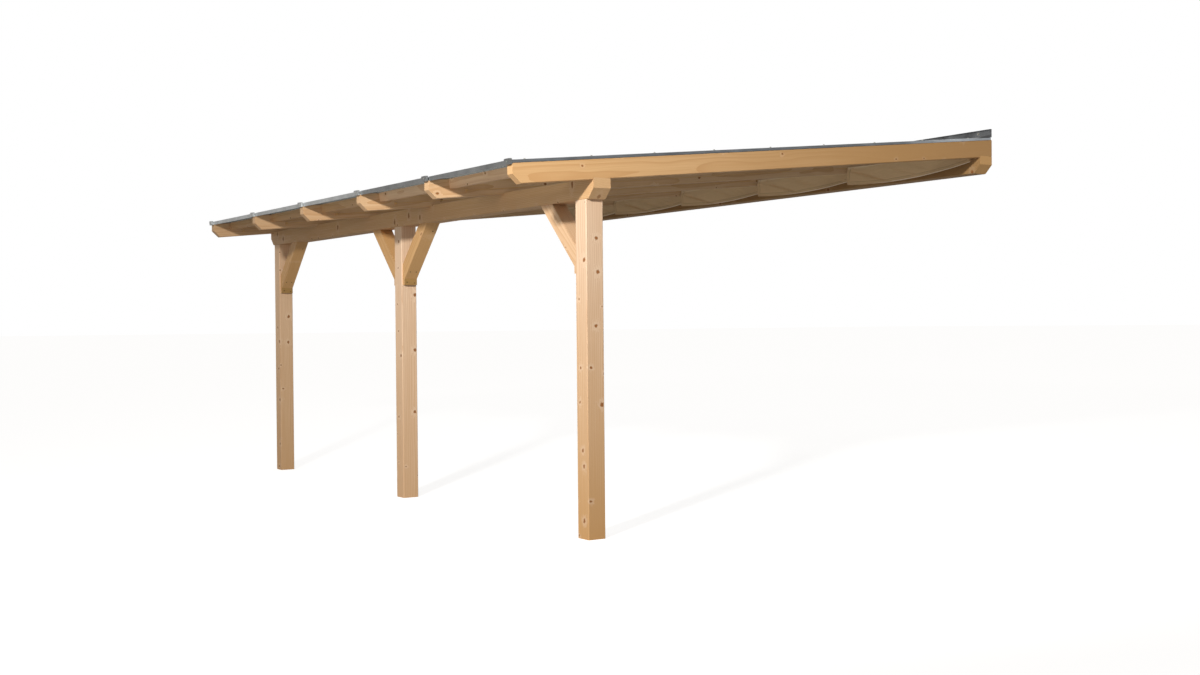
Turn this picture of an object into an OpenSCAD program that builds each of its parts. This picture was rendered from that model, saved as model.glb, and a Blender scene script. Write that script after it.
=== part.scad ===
// Wall-mounted timber patio cover: three posts, two beams, six rafters under five roof sheets.
// Millimetres, +Z up, +X along the front, +Y towards the wall.
// The origin is the middle of the wall beam's rear face, which stands against the wall.

/* [Overall] */
// distance between the middles of two neighbouring rafters
bay = 1070; // [900:10:1200]
// rafter length on plan, from the wall to the front end
roof_depth = 3930; // [3000:10:4600]
// from the post feet to the underside of the front beam
post_height = 2018; // [1900:2:2400]
// slope of the roof in degrees, rising towards the wall
pitch = 5.5; // [4:0.5:8]

/* [Timber] */
// width of a square post, and of both beams
post_size = 120; // [100:2:140]
// height of the front beam and of the wall beam
beam_height = 120; // [100:2:160]
// width of a rafter
rafter_width = 60; // [50:2:80]
// depth of a rafter, square to the slope
rafter_height = 120; // [110:2:160]
// bevel planed along every long timber edge
arris = 4; // [1:0.5:6]
// length of the slanting cut under each beam end
beam_end_cut = 60; // [20:2:75]
// length of the slanting cut under each rafter's front end
rafter_end_cut = 58; // [20:2:75]
// how far the rafters reach past the front face of the front beam
front_overhang = 543; // [300:1:700]
// from the outer face of an end rafter to the outer face of an end post
post_inset = 86; // [70:2:300]
// depth of each rafter's level seat at the shallow edge of a beam
seat_depth = 1; // [0.5:0.5:6]
// play between the upright cut of a seat and the beam
seat_play = 1; // [0.5:0.5:3]

/* [Braces] */
// outer edge of a brace along the post and along the beam
brace_outer = 420; // [350:5:600]
// depth of a brace, square to its length
brace_depth = 98; // [60:2:140]
// thickness of a brace from front to back
brace_thick = 100; // [60:2:100]
// how far the blunt foot of a brace stands off the post
brace_nose = 30; // [10:1:50]
// height of the upright face on the blunt foot
brace_foot = 45; // [20:1:70]

/* [Cross rails] */
// height of the rails between the rafters at the eaves
rail_height = 62; // [40:1:90]
// thickness of those rails
rail_thick = 45; // [30:1:60]
// from the rafter ends back to the rails
rail_setback = 142; // [90:1:250]

/* [Roof sheets] */
// thickness of a twin-wall roof sheet
sheet_thick = 10; // [8:1:16]
// thickness of the sheet's upper and lower skins
sheet_skin = 0.8; // [0.4:0.1:1.5]
// thickness of the ribs between its two skins
sheet_rib = 0.6; // [0.4:0.1:1.5]
// distance from one rib to the next
sheet_cell = 11; // [9:0.5:24]
// thickness of the rubber strip under the sheets
gasket_thick = 2; // [1:0.5:4]
// width of that strip
gasket_width = 54; // [40:1:60]
// width of a glazing bar's cover
bar_width = 60; // [50:1:64]
// height of the cover over the sheets
bar_cover = 6; // [4:0.5:10]
// thickness of an end bar's outer side
bar_side = 2; // [1:0.5:3]
// thickness of the bar's web between two sheets
web_thick = 8; // [5:0.5:10]
// play between a sheet's edge and the web
sheet_play = 3; // [2:0.5:6]
// from the wall to the upper end of the sheets
wall_play = 8; // [4:1:20]

/* [Eaves] */
// width of the end cap on a glazing bar
cap_width = 64; // [60:1:72]
// how far a cap hangs below the rafter top
cap_drop = 8; // [2:1:12]
// height of a cap over the rafter top
cap_rise = 27; // [24:1:34]
// length of a cap from front to back
cap_length = 18; // [8:1:30]
// bevel on the upper corners of a cap
cap_bevel = 5; // [1:1:8]
// play between a cap and the rafter end
cap_play = 1.6; // [1.4:0.2:3]
// height of the eaves channel over the rafter top
eaves_rise = 20; // [18:1:26]
// drip edge of the eaves channel below the rafter top
eaves_drop = 8; // [6:1:24]
// metal thickness of the eaves channel
eaves_metal = 2; // [1:0.5:2]
// how far the channel laps over a sheet
eaves_lap = 28; // [15:1:45]
// gap from the channel's end to a rafter's side
eaves_play = 8; // [3:1:12]

/* [Wall flashing] */
// top of the flashing over the rafter top, on the wall
flashing_rise = 77; // [60:1:110]
// heel of the flashing over the rafter top, on the wall
flashing_heel = 34; // [30:1:45]
// how far the flashing reaches over the roof
flashing_reach = 130; // [80:2:220]
// turned-out lip along the flashing's top
flashing_lip = 14; // [8:1:24]
// thickness of the flashing
flashing_thick = 3; // [2:0.5:5]

/* [Sun sails] */
// from the wall to the front of a gathered sail at its left edge
sail_front_left = 400; // [300:2:560]
// from the wall beam's front face to the sail's front at its right edge
sail_front_right = 30; // [30:1:120]
// from the wall to its rearmost fold at the left edge
sail_back_left = 160; // [150:2:240]
// from the wall to its rearmost fold at the right edge
sail_back_right = 20; // [16:1:40]
// drop of the front fold below the rods at the left edge
sail_left = 129; // [60:1:150]
// drop of the front fold below the rods in the middle
sail_middle = 134; // [60:1:190]
// drop of the front fold below the rods at the right edge
sail_right = 65; // [40:1:70]
// part of that drop that the folds behind the front one have
sail_taper = 0.5; // [0.2:0.02:0.7]
// gap from one fold to the next
fold_gap = 5; // [3:0.5:8]
// gap between the cloth and the wall beam that it lies over
sail_clear = 2; // [1:0.5:4]
// height of the rods, and of the sail's top, over the wall beam
rod_over = 27.5; // [24:0.5:45]
// diameter of the thin rods
rod_size = 4; // [3:0.5:6]
// distance from a rafter's side to the middle of a rod
rod_inset = 9; // [6:0.5:12]
// length and height of the block that holds a rod's end
rod_block = 14; // [10:1:24]
// from the rafter ends back to the front ends of the rods
rod_setback = 260; // [220:2:600]

/* [Hidden] */

rafters = 6;
bays = rafters - 1;
folds = 6;
sail_steps = 10;
rod_sides = 8;
slack = 0.01;
half_width = bays / 2 * bay + rafter_width / 2;
beam_front = -(roof_depth - front_overhang);
beam_back = beam_front + post_size;
beam_top = post_height + beam_height;
rise = tan(pitch);
// height of the rafters' underside at the wall, over the post feet
underside_wall = beam_top - seat_depth - rise * beam_back;
wall_beam_top = underside_wall + seat_depth;
rafter_plumb = rafter_height / cos(pitch);
top_wall = underside_wall + rafter_plumb;
slope_length = roof_depth / cos(pitch);
origin_height = wall_beam_top - beam_height / 2;
sheet_top = gasket_thick + sheet_thick;
bar_top = sheet_top + bar_cover;
sheet_width = bay - web_thick - 2 * sheet_play;
clear_bay = bay - rafter_width;
end_post = half_width - post_inset - post_size / 2;
brace_inner = brace_outer - brace_depth * sqrt(2);
brace_bottom = brace_outer - brace_nose + brace_foot;
cap_back = -slope_length - cap_play;
// height of the sail rods over the rafters' underside
sail_lift = seat_depth + rise * post_size + rod_over;
// the cloth's side edges touch the flat side of the rods
sail_play = rod_inset + rod_size / 2 * cos(180 / rod_sides);
sail_width = clear_bay - 2 * sail_play;

spruce = [0.86, 0.68, 0.45];
metal = [0.62, 0.64, 0.66];
clear = [0.80, 0.86, 0.88];
rubber = [0.12, 0.12, 0.13];
dark = [0.22, 0.23, 0.24];
cloth = [0.90, 0.86, 0.77];

// heights on the rafters' underside line, at a distance from the wall
function underside(y) = underside_wall + rise * y;

// middle of one rafter, counted from the left end
function rafter_x(i) = (i - (rafters + 1) / 2) * bay;

// middle of one bay, counted from the left end
function bay_x(i) = (i - (bays + 1) / 2) * bay;

// moves a piece built from the ground and the wall into the part's frame
module placed() {
    translate([0, 0, -origin_height])
        children();
}

// a frame on the rafters' top face, with its origin at the wall
module on_slope(x = 0) {
    translate([x, 0, top_wall])
        rotate([pitch, 0, 0])
            children();
}

// upright outline in Y and Z, given thickness along X around x
module across(x, thick) {
    translate([x - thick / 2, 0, 0])
        rotate([90, 0, 90])
            linear_extrude(thick)
                children();
}

// outline in X and Z, given thickness along Y from y back towards the wall
module along(y, thick) {
    translate([0, y + thick, 0])
        rotate([90, 0, 0])
            linear_extrude(thick)
                children();
}

// rectangle with its four corners bevelled
module planed(w, h) {
    polygon([
        [-w / 2 + arris, -h / 2], [w / 2 - arris, -h / 2], [w / 2, -h / 2 + arris], [w / 2, h / 2 - arris],
        [w / 2 - arris, h / 2], [-w / 2 + arris, h / 2], [-w / 2, h / 2 - arris], [-w / 2, -h / 2 + arris]]);
}

module post(x) {
    placed()
        translate([x, beam_front + post_size / 2, 0])
            linear_extrude(post_height)
                planed(post_size, post_size);
}

// beam with its underside at bottom, its front face at y and a slanting cut under each end
module beam(y, bottom) {
    placed()
        intersection() {
            across(0, 2 * half_width)
                translate([y + post_size / 2, bottom + beam_height / 2])
                    planed(post_size, beam_height);
            along(y - slack, post_size + 2 * slack)
                polygon([
                    [-half_width, bottom + beam_height + slack], [half_width, bottom + beam_height + slack],
                    [half_width, bottom + beam_end_cut], [half_width - beam_end_cut, bottom - slack],
                    [-half_width + beam_end_cut, bottom - slack], [-half_width, bottom + beam_end_cut]]);
        }
}

// brace from a post's side face at x up to the front beam, leaning towards side
module brace(x, side) {
    placed()
        translate([x, 0, post_height])
            along(beam_front + (post_size - brace_thick) / 2, brace_thick)
                polygon([
                    [0, -brace_inner], [side * brace_inner, 0], [side * brace_outer, 0],
                    [side * brace_nose, brace_nose - brace_outer], [side * brace_nose, -brace_bottom],
                    [0, -brace_bottom]]);
}

// rafter with a level seat over each beam and its front lower corner cut off
module rafter(i) {
    front = -roof_depth;
    nose = front + rafter_end_cut;
    color(spruce)
        placed()
            intersection() {
                across(rafter_x(i), rafter_width)
                    polygon([
                        [front, underside(front) + rafter_plumb], [front, underside(front) + rafter_end_cut],
                        [nose, underside(nose)], [beam_front - seat_play, underside(beam_front - seat_play)],
                        [beam_front - seat_play, beam_top], [beam_back + seat_depth / rise, beam_top],
                        [-post_size - seat_play, underside(-post_size - seat_play)],
                        [-post_size - seat_play, wall_beam_top], [0, wall_beam_top], [0, top_wall]]);
                on_slope(rafter_x(i))
                    translate([0, rafter_height, -rafter_height / 2])
                        rotate([90, 0, 0])
                            linear_extrude(slope_length + 2 * rafter_height)
                                planed(rafter_width, rafter_height);
            }
}

// rail between two rafters at the eaves, its top level with theirs
module cross_rail(i) {
    color(spruce)
        placed()
            on_slope(bay_x(i))
                translate([-clear_bay / 2, -slope_length + rail_setback, -rail_height])
                    cube([clear_bay, rail_thick, rail_height]);
}

// twin-wall sheet of one bay: two skins joined by ribs that run down the slope
module roof_sheet(i) {
    cells = floor((sheet_width - sheet_rib) / sheet_cell);
    edge = (sheet_width - cells * sheet_cell + sheet_rib) / 2;
    color(clear)
        placed()
            on_slope(bay_x(i))
                translate([-sheet_width / 2, -wall_play, gasket_thick])
                    rotate([90, 0, 0])
                        linear_extrude(slope_length - eaves_metal - wall_play)
                            difference() {
                                square([sheet_width, sheet_thick]);
                                for (k = [0 : cells - 1])
                                    translate([edge + k * sheet_cell, sheet_skin])
                                        square([sheet_cell - sheet_rib, sheet_thick - 2 * sheet_skin]);
                            }
}

// glazing bar over one rafter: a cover on both sheets and a web between them.
// An end bar, told by side, also closes the roof's outer edge.
module glazing_bar(i, side = 0) {
    half = bar_width / 2;
    crown = bar_cover / 2;
    color(metal)
        placed()
            on_slope(rafter_x(i))
                translate([0, -wall_play, 0])
                    rotate([90, 0, 0])
                        linear_extrude(-cap_back - wall_play) {
                            polygon([
                                [-half, sheet_top], [half, sheet_top], [half, bar_top - crown],
                                [half - crown, bar_top], [crown - half, bar_top], [-half, bar_top - crown]]);
                            translate([-web_thick / 2, gasket_thick])
                                square([web_thick, sheet_thick + crown]);
                            if (side != 0)
                                translate([side * (half - bar_side / 2) - bar_side / 2, 0])
                                    square([bar_side, sheet_top + crown]);
                        }
}

// metal channel that closes the lower end of one sheet
module eaves_channel(i) {
    color(metal)
        placed()
            on_slope(bay_x(i))
                across(0, clear_bay - 2 * eaves_play)
                    translate([-slope_length, 0])
                        polygon([
                            [0, -eaves_drop], [eaves_metal, -eaves_drop],
                            [eaves_metal, gasket_thick - eaves_metal],
                            [eaves_lap, gasket_thick - eaves_metal],
                            [eaves_lap, gasket_thick], [eaves_metal, gasket_thick],
                            [eaves_metal, sheet_top], [eaves_lap, sheet_top],
                            [eaves_lap, sheet_top + eaves_metal], [eaves_metal, sheet_top + eaves_metal],
                            [eaves_metal, eaves_rise], [0, eaves_rise]]);
}

// distance from the wall to the line between two folds, counted from the front, at the left edge
function ridge_left(k) = -sail_front_left + k / folds * (sail_front_left - sail_back_left);

// the same at the right edge
function ridge_right(k) =
    -post_size - sail_front_right + k / folds * (post_size + sail_front_right - sail_back_right);

// drop of the cloth at a place u across the bay, through its left, middle and right values
function sail_drop(u) =
    sail_left * (1 - u) * (1 - 2 * u) + 4 * sail_middle * u * (1 - u) + sail_right * u * (2 * u - 1);

// a frame on the level of the sail rods, with its origin at the wall
module on_rods(x) {
    translate([x, 0, underside_wall + sail_lift])
        rotate([pitch, 0, 0])
            children();
}

// outline of one fold seen from the front, with a share of the front fold's drop
module fold_front(share) {
    across_bay = [for (step = [0 : sail_steps]) step / sail_steps];
    lower_edge = [for (u = across_bay) [sail_width * (u - 0.5), -share * sail_drop(u)]];
    polygon(concat([[sail_width / 2, 0], [-sail_width / 2, 0]], lower_edge));
}

// the same fold seen from above, as a strip that narrows to the right
module fold_plan(k) {
    half = sail_width / 2;
    polygon([
        [-half, ridge_left(k) + fold_gap / 2], [half, ridge_right(k) + fold_gap / 2],
        [half, ridge_right(k + 1) - fold_gap / 2], [-half, ridge_left(k + 1) - fold_gap / 2]]);
}

// room that the wall beam takes, with the cloth's gap round it
module beam_room() {
    translate([-half_width, -post_size - sail_clear, wall_beam_top - beam_height - sail_clear])
        cube([2 * half_width, post_size + 2 * sail_clear, beam_height + 2 * sail_clear]);
}

// gathered sail of one bay, pushed closer to the wall at its right edge than at its left
module sun_sail(i) {
    deep = sail_left + sail_middle;
    color(cloth)
        placed()
            difference() {
                on_rods(bay_x(i))
                    for (k = [0 : folds - 1])
                        intersection() {
                            along(-sail_front_left, sail_front_left)
                                fold_front(k == 0 ? 1 : sail_taper);
                            translate([0, 0, -deep])
                                linear_extrude(deep + slack)
                                    fold_plan(k);
                        }
                beam_room();
            }
}

module post_left() {
    color(spruce) post(-end_post);
}

module post_middle() {
    color(spruce) post(0);
}

module post_right() {
    color(spruce) post(end_post);
}

module front_beam() {
    color(spruce) beam(beam_front, post_height);
}

module wall_beam() {
    color(spruce) beam(-post_size, wall_beam_top - beam_height);
}

module brace_left() {
    color(spruce) brace(-end_post + post_size / 2, 1);
}

module brace_middle_left() {
    color(spruce) brace(-post_size / 2, -1);
}

module brace_middle_right() {
    color(spruce) brace(post_size / 2, 1);
}

module brace_right() {
    color(spruce) brace(end_post - post_size / 2, -1);
}

// rubber strips on the rafters, under the sheets and bars
module gaskets() {
    color(rubber)
        for (i = [1 : rafters])
            placed()
                on_slope(rafter_x(i))
                    translate([-gasket_width / 2, -slope_length, 0])
                        cube([gasket_width, slope_length - wall_play, gasket_thick]);
}

// caps that close the lower ends of the glazing bars and stop them sliding
module bar_end_caps() {
    color(metal)
        for (i = [1 : rafters])
            placed()
                on_slope(rafter_x(i))
                    along(cap_back - cap_length, cap_length)
                        polygon([
                            [-cap_width / 2, -cap_drop], [cap_width / 2, -cap_drop],
                            [cap_width / 2, cap_rise - cap_bevel], [cap_width / 2 - cap_bevel, cap_rise],
                            [cap_bevel - cap_width / 2, cap_rise], [-cap_width / 2, cap_rise - cap_bevel]]);
}

// dark flashing that seals the roof against the wall, with its foot on the glazing bars and its ends
// turned down onto the outer two
module wall_flashing() {
    foot_y = -flashing_reach * cos(pitch) - bar_top * sin(pitch);
    foot_z = top_wall - flashing_reach * sin(pitch) + bar_top * cos(pitch);
    heel_z = top_wall + flashing_heel;
    lip_z = top_wall + flashing_rise;
    bar_z = foot_z - foot_y * tan(pitch);
    fold = flashing_thick / 2;
    color(dark)
        placed() {
            across(0, 2 * half_width)
                polygon([
                    [foot_y, foot_z], [0, heel_z], [0, lip_z], [-flashing_lip, lip_z],
                    [-flashing_lip, lip_z - flashing_thick], [-flashing_thick, lip_z - flashing_thick],
                    [-flashing_thick, heel_z + flashing_thick], [foot_y, foot_z + flashing_thick]]);
            for (side = [-1, 1])
                across(side * (half_width - fold), flashing_thick)
                    polygon([[foot_y, foot_z], [0, bar_z], [0, heel_z + fold], [foot_y, foot_z + fold]]);
        }
}

// thin rods beside the rafters that carry the sails, held at both ends by blocks on the rafters' sides
module sail_rods() {
    rod_length = slope_length - rod_setback - sail_back_right;
    block_depth = rod_inset + rod_size;
    color(metal)
        for (i = [1 : bays])
            for (side = [-1, 1])
                placed()
                    on_rods(bay_x(i) + side * clear_bay / 2)
                        translate([0, -sail_back_right, 0]) {
                            translate([-side * rod_inset, 0, 0])
                                rotate([90, 180 / rod_sides, 0])
                                    cylinder(d = rod_size, h = rod_length, $fn = rod_sides);
                            for (y = [-rod_block / 2, -rod_length + rod_block / 2])
                                translate([-side * block_depth / 2, y, 0])
                                    cube([block_depth, rod_block, rod_block], center = true);
                        }
}

post_left();
post_middle();
post_right();
front_beam();
wall_beam();
brace_left();
brace_middle_left();
brace_middle_right();
brace_right();
for (i = [1 : rafters])
    rafter(i);
for (i = [1 : bays])
    cross_rail(i);
for (i = [1 : bays])
    roof_sheet(i);
gaskets();
glazing_bar(1, -1);  // glazing_bar_1
for (i = [2 : rafters - 1])
    glazing_bar(i);
glazing_bar(rafters, 1);  // glazing_bar_6
bar_end_caps();
for (i = [1 : bays])
    eaves_channel(i);
wall_flashing();
sail_rods();
for (i = [1 : bays])
    sun_sail(i);
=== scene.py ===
"""Dressed scene of a wall-mounted timber patio cover: finishes, sun sails, screws, stage and camera."""

import math

import bpy
import numpy as np
from bpy.props import FloatProperty, FloatVectorProperty, IntProperty, PointerProperty
from mathutils import Matrix, Vector


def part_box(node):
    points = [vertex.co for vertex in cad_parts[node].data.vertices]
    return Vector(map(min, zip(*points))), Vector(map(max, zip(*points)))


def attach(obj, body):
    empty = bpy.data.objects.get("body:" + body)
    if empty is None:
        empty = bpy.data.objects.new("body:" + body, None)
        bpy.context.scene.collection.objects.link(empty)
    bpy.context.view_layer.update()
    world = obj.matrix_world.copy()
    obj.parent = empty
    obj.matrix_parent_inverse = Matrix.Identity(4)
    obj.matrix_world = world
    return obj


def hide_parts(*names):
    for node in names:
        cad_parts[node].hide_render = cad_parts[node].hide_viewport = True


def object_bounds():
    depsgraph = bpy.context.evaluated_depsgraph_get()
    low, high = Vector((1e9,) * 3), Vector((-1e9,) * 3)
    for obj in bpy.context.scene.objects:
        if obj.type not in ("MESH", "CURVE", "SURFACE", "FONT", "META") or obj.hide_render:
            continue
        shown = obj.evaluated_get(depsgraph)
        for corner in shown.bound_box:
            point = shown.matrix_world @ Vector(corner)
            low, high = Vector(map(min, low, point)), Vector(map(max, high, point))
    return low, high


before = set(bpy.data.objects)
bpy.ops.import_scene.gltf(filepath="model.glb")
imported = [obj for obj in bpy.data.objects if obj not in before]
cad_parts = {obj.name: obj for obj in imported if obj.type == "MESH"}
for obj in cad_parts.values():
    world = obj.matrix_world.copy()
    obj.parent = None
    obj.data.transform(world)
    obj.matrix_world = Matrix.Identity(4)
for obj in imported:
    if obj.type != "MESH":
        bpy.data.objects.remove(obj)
cad_low, cad_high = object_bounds()

bl_info = {
    "name": "Patio cover",
    "version": (1, 0, 0),
    "blender": (4, 5, 0),
    "location": "View3D > Sidebar > Patio cover",
    "description": "Finishes, sun sails, screws and stage of a wall-mounted timber patio cover",
    "category": "Object",
}

BODY = "root"
MM = 0.001
SEED = 11
# rows of the cloth down a sail's front, rows that its round top adds, and strips across its width
FLAP_STEPS = 26
FLAP_TOP_STEPS = 3
WIDTH_STEPS = 120
# share, pace across and pace down of the three waves that sway a hanging cloth
SWAYS = ((0.45, 9, 4), (0.35, 21, 7), (0.2, 43, 9))
# where each crease in a sail's front starts and ends across it, then down it, its half width and its share
CREASES = (
    (0.08, 0.4, 0.22, 1.0, 0.022, 1.0),
    (0.3, 0.55, 0.1, 0.8, 0.03, 0.6),
    (0.55, 0.74, 0.05, 0.9, 0.035, 0.5),
)
X, Y, Z = Vector((1, 0, 0)), Vector((0, 1, 0)), Vector((0, 0, 1))
# which way each knee brace leans away from its post
BRACES = {"brace_left": 1, "brace_middle_left": -1, "brace_middle_right": 1, "brace_right": -1}


def family(stem):
    """Names of the CAD nodes that share a stem and a running number."""
    return sorted(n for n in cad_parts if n.rpartition("_")[0] == stem and n[-1].isdigit())


def middle(node):
    """Middle of a CAD node's box."""
    low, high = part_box(node)
    return (low + high) / 2


def corners(node):
    """Points of a CAD node's mesh."""
    return [v.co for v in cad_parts[node].data.vertices]


def roof_axes():
    """Upper end of a glazing bar's lowest edge, the unit vector down the roof and the one square to it."""
    points = corners("glazing_bar_2")
    head = max(points, key=lambda p: p.y)
    run = min(points, key=lambda p: p.z) - head
    down = Vector((0, run.y, run.z)).normalized()
    return Vector((0, head.y, head.z)), down, down.cross(X)


ROOF_HEAD, DOWN_ROOF, OFF_ROOF = roof_axes()


def linear(code):
    """Linear colour of an sRGB hex value."""
    parts = [int(code[i : i + 2], 16) / 255 for i in (0, 2, 4)]
    return tuple(c / 12.92 if c <= 0.04045 else ((c + 0.055) / 1.055) ** 2.4 for c in parts)


def length(name, description, value, low=0.0, high=10.0):
    """A length in metres that a user can set."""
    return FloatProperty(
        name=name, description=description, default=value, min=low, max=high, unit="LENGTH", precision=4
    )


def colour(name, description, code):
    """A colour that a user can set, from its sRGB hex value."""
    return FloatVectorProperty(
        name=name, description=description, default=linear(code), min=0, max=1, size=3, subtype="COLOR"
    )


class PatioSizes(bpy.types.PropertyGroup):
    """Sizes of the cloth and the fasteners."""

    front_left: length("Left front", "From the wall to a sail's front at its left edge", 400 * MM)
    front_right: length("Right front", "From the wall to a sail's front at its right edge", 150 * MM)
    back_left: length("Left back", "From the wall to a sail's rearmost fold at its left edge", 160 * MM)
    back_right: length("Right back", "From the wall to a sail's rearmost fold at its right edge", 20 * MM)
    sail_left: length("Left drop", "Drop of a sail's front below the rods at its left edge", 129 * MM)
    sail_middle: length("Middle drop", "Drop of a sail's front below the rods in the middle", 134 * MM)
    sail_right: length("Right drop", "Drop of a sail's front below the rods at its right edge", 65 * MM)
    sail_taper: FloatProperty(
        name="Taper",
        description="Part of the drop that the folds behind the front have",
        default=0.5,
        min=0.2,
        max=1,
    )
    sail_folds: IntProperty(
        name="Folds", description="Folds behind a sail's front", default=6, min=1, max=12
    )
    sail_sag: length("Sag", "How far the top of a fold sags between its two rods", 3 * MM)
    sail_tilt: length("Top tilt", "How far the top of a sail's front leans out at its left edge", 16 * MM)
    crease: length("Crease", "Depth of the slanting creases in a sail's front", 17 * MM)
    beam_gap: length("Beam gap", "Gap between the cloth and the wall beam that it lies over", 4 * MM)
    hem: length("Hem", "Width of the sewn hem round each sail", 24 * MM)
    cloth_thick: length("Cloth", "Thickness of the sailcloth", 0.9 * MM)
    brace_nose: length("Brace nose", "How far a brace's blunt foot stands off its post", 30 * MM)
    brace_foot: length("Brace foot", "Height of the upright face on a brace's foot", 45 * MM)
    screw_head: length("Screw head", "Diameter of a timber screw's head", 9 * MM)
    washer: length("Washer", "Diameter of a roof screw's sealing washer", 18 * MM)
    screw_pitch: length("Screw pitch", "Distance between two screws along a glazing bar", 430 * MM)


class PatioColours(bpy.types.PropertyGroup):
    """Colours of the finishes."""

    spruce_pale: colour("Pale spruce", "Early wood of the posts and braces", "EDD3B8")
    spruce_gold: colour("Golden spruce", "Early wood of the beams and rafters", "D8AC72")
    spruce_late: colour("Late wood", "Darker part of each growth ring", "B67F45")
    spruce_knot: colour("Knot", "Heart of a knot", "96602F")
    sawn: colour("End grain", "Sawn ends of the posts, rafters, rails and front beam", "C8A478")
    # painted shade: the braces' sawn feet are painted darker than end grain, for the shade on them
    sawn_brace: colour("Brace foot", "Sawn feet of the braces", "A37F49")
    # painted light: the wall beam's sawn ends are painted brighter than other end grain, for the light that
    # falls on them
    sawn_wall: colour("Wall beam end", "Sawn ends of the wall beam", "E6B474")
    aluminium: colour("Aluminium", "Mill-finished aluminium of the eaves channels and end caps", "D6DADC")
    bar: colour("Glazing bar", "Weathered aluminium of the glazing bars", "8C9298")
    paint: colour("Rod paint", "Powder coat on the sail rods", "D8AC72")
    sheet: colour("Roof sheet", "Twin-wall polycarbonate", "D5DBDC")
    rubber: colour("Rubber", "Sealing strips", "26272A")
    flashing: colour("Flashing", "Rolled lead flashing", "6C6F72")
    cloth: colour("Sailcloth", "Woven sailcloth", "E6C294")
    # painted highlight: the pale colour of the sails' lit lower edge and of the lit band under their top fold
    sail_highlight: colour("Binding", "Tape that binds the front edge of the sailcloth", "FFE9CC")
    # painted shade: the timber screws' chromate is painted dark, for the shade round a sunk screw
    zinc: colour("Zinc", "Zinc-plated screws", "B4B2A8")
    chromate: colour("Chromate", "Yellow chromate on the timber screws", "6A5636")
    floor: colour("Floor", "Pale studio floor", "F2F2F2")


def add(tree, kind, inputs=None, **settings):
    """Adds one node: settings are its own properties, and inputs are values or sockets for its sockets."""
    made = tree.nodes.new(kind)
    for name, value in settings.items():
        setattr(made, name, value)
    for key, value in (inputs or {}).items():
        if isinstance(value, bpy.types.NodeSocket):
            tree.links.new(value, made.inputs[key])
        else:
            made.inputs[key].default_value = value
    return made


def blank(name):
    """A new material, its empty node tree and the set colours."""
    material = bpy.data.materials.new(name)
    material.use_nodes = True
    material.node_tree.nodes.clear()
    return material, material.node_tree, bpy.context.scene.patio_colours


def finished(material, shader):
    """The material, with a shader sent to its output."""
    add(material.node_tree, "ShaderNodeOutputMaterial", {"Surface": shader.outputs[0]})
    return material


def opaque(value):
    """A colour with full alpha, for a colour socket."""
    return (*value, 1)


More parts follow.
